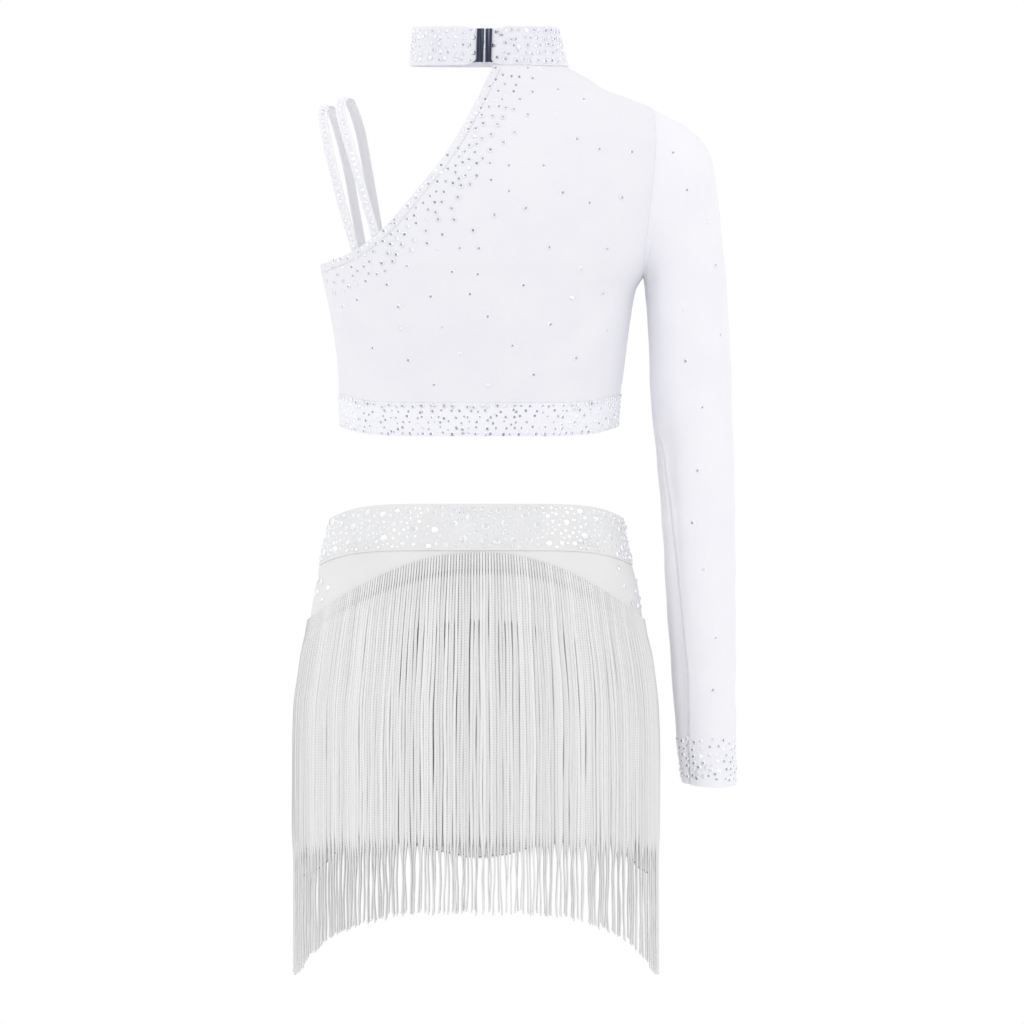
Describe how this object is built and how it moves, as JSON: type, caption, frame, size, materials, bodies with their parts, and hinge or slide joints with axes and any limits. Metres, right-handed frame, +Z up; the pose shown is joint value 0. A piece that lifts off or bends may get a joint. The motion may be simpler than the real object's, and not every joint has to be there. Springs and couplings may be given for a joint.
{
  "type": "fringe dance costume",
  "caption": "Worn-form two-piece dance costume: one-sleeved crop top with studded hooked collar and shoulder straps, and high-waisted shorts with long fringe all round.",
  "frame": {"origin": "middle of the wearer's waist, where the wearer holds the shorts up; the top hangs from the wearer's shoulders above it", "axes": "+Z up along the wearer, +Y the way the wearer faces, +X to the wearer's right"},
  "size_m": [0.3994, 0.2381, 0.8519],
  "materials": {
    "stretch_knit": "white stretch satin knit, soft sheen",
    "shorts_knit": "white stretch knit, matt",
    "fringe_cord": "white chainette cord, silky",
    "clasp_metal": "dark blued metal, brushed lengthwise",
    "rhinestone": "foil-backed faceted crystal"
  },
  "bodies": {
    "root": {"top_back": "stretch_knit", "top_front": "stretch_knit", "top_hem_band": "stretch_knit", "sleeve": "stretch_knit", "collar": "stretch_knit", "strap_outer": "stretch_knit", "strap_inner": "stretch_knit", "clasp_hook": "clasp_metal", "clasp_eye": "clasp_metal", "waistband": "shorts_knit", "shorts_back": "shorts_knit", "shorts_front": "shorts_knit", "gusset": "shorts_knit", "fringe_back": "fringe_cord", "fringe_front": "fringe_cord"}
  },
  "joints": []
}
